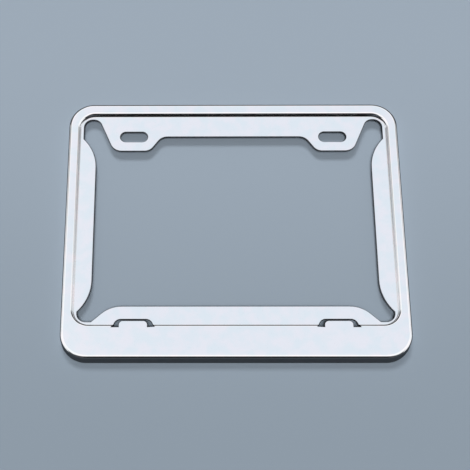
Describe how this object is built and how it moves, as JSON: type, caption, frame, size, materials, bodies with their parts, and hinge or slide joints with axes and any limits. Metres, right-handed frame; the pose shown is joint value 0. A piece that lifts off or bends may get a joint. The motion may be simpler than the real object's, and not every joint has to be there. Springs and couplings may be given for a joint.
{
  "type": "number plate holder",
  "caption": "Chromed frame pressed from one sheet for a small number plate, with a recessed seat, slotted ears at the top, and a wide band with tongues along the bottom.",
  "frame": {"origin": "middle of the outline, on the plane of the skirt's edge, where the holder lies on a surface", "axes": "+Z out of the front, +Y towards the edge with the fixing slots, +X along the width"},
  "size_m": [0.205, 0.17, 0.009],
  "materials": {
    "chrome": "polished"
  },
  "bodies": {
    "root": {"holder_frame": "chrome"}
  },
  "joints": []
}
